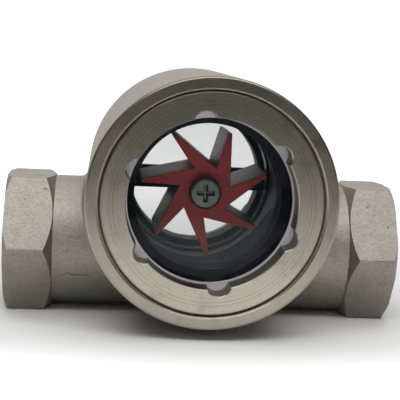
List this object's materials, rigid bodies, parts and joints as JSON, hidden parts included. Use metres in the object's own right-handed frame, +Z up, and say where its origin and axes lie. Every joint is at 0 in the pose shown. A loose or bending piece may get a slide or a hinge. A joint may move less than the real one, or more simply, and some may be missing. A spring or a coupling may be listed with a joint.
{
  "type": "sight glass",
  "caption": "Inline flow sight glass: round stainless body with a window front and back, threaded hexagonal pipe ends and a spinning red paddle wheel inside.",
  "frame": {"origin": "ground plane under the middle of the body, where the lower flats of the two hexagons rest", "axes": "+X along the pipe from outlet to inlet, -Y towards the front window, +Z up"},
  "size_m": [0.1, 0.0762, 0.0626],
  "materials": {
    "cast_stainless": "bead-blasted investment casting, satin",
    "machined_stainless": "turned, fine concentric lines",
    "white_ptfe": "matte white fluoropolymer",
    "window_glass": "polished toughened glass, slightly green",
    "black_rubber": "matte black",
    "screw_steel": "dull stainless",
    "bar_steel": "dark mill finish",
    "painted_metal": "red paint on the front face, bare metal behind it"
  },
  "bodies": {
    "housing": {"body_casting": "cast_stainless", "front_retaining_ring": "machined_stainless", "rear_retaining_ring": "machined_stainless", "front_outer_gasket": "white_ptfe", "rear_outer_gasket": "white_ptfe", "front_glass": "window_glass", "rear_glass": "window_glass", "front_inner_gasket": "black_rubber", "rear_inner_gasket": "black_rubber", "axle_screw": "screw_steel", "front_washer": "screw_steel", "rear_thrust_washer": "white_ptfe", "spacer_nut": "screw_steel", "support_bar": "bar_steel", "lock_washer": "screw_steel", "hex_nut": "screw_steel"},
    "impeller": {"impeller_wheel": "painted_metal", "hub_tube": "bar_steel", "front_hub_bush": "white_ptfe", "rear_hub_bush": "white_ptfe"}
  },
  "joints": [
    {"name": "impeller_spin", "type": "hinge", "parent": "housing", "child": "impeller", "pos_m": [0, 0, 0.0328], "axis": [0, 1, 0], "continuous": true}
  ]
}
